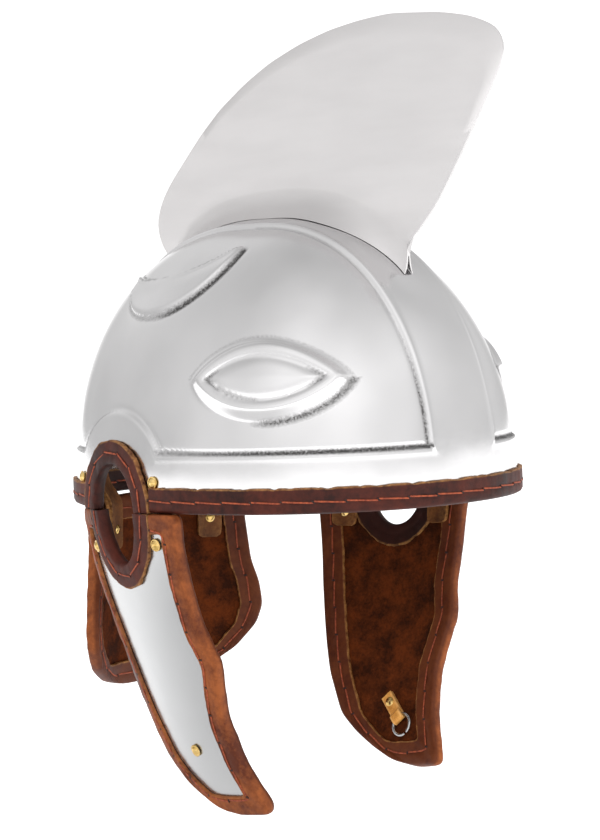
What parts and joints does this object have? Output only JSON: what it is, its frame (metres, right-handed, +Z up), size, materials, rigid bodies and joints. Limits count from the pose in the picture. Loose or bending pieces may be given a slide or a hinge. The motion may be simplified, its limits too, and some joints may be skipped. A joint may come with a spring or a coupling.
{
  "type": "roman legionary helmet",
  "caption": "Late Roman ridge helmet: steel bowl with a tall crest plate, leather edged rim and ear openings, hanging cheek guards and neck guard.",
  "frame": {"origin": "middle of the rim, level with the top of its leather edging, where the head sits", "axes": "+Z up, the wearer's front to -Y, the wearer's right to -X"},
  "size_m": [0.2125, 0.2779, 0.3927],
  "materials": {
    "steel": "bright satin, dark residue in creases",
    "crest_steel": "even satin, brushed along its length",
    "dark_leather": "oiled dark red-brown leather, stitched",
    "edge_leather": "red-brown leather, stitched",
    "suede": "mottled dark brown suede",
    "tan_leather": "plain tan leather",
    "brass": "pale brass, polished",
    "ring_steel": "bright wire"
  },
  "bodies": {
    "root": {"bowl": "steel", "rim_edging": "dark_leather", "crest_plate": "crest_steel", "neck_guard_plate": "steel", "neck_guard_lining": "suede", "neck_guard_border": "edge_leather", "neck_guard_strap_right": "tan_leather", "neck_guard_strap_left": "tan_leather", "neck_guard_stud_right": "brass", "neck_guard_stud_left": "brass", "right_cheek_plate": "steel", "right_cheek_lining": "suede", "right_cheek_border": "edge_leather", "right_cheek_ear_edging": "dark_leather", "right_cheek_strap_front": "tan_leather", "right_cheek_strap_back": "tan_leather", "right_cheek_stud_front": "brass", "right_cheek_stud_back": "brass", "right_cheek_stud_low": "brass", "right_cheek_ring_tab": "tan_leather", "right_cheek_ring": "ring_steel", "bowl_stud_right_front": "brass", "bowl_stud_right_back": "brass", "bowl_stud_neck_right": "brass", "left_cheek_plate": "steel", "left_cheek_lining": "suede", "left_cheek_border": "edge_leather", "left_cheek_ear_edging": "dark_leather", "left_cheek_strap_front": "tan_leather", "left_cheek_strap_back": "tan_leather", "left_cheek_stud_front": "brass", "left_cheek_stud_back": "brass", "left_cheek_stud_low": "brass", "left_cheek_ring_tab": "tan_leather", "left_cheek_ring": "ring_steel", "bowl_stud_left_front": "brass", "bowl_stud_left_back": "brass", "bowl_stud_neck_left": "brass"}
  },
  "joints": []
}
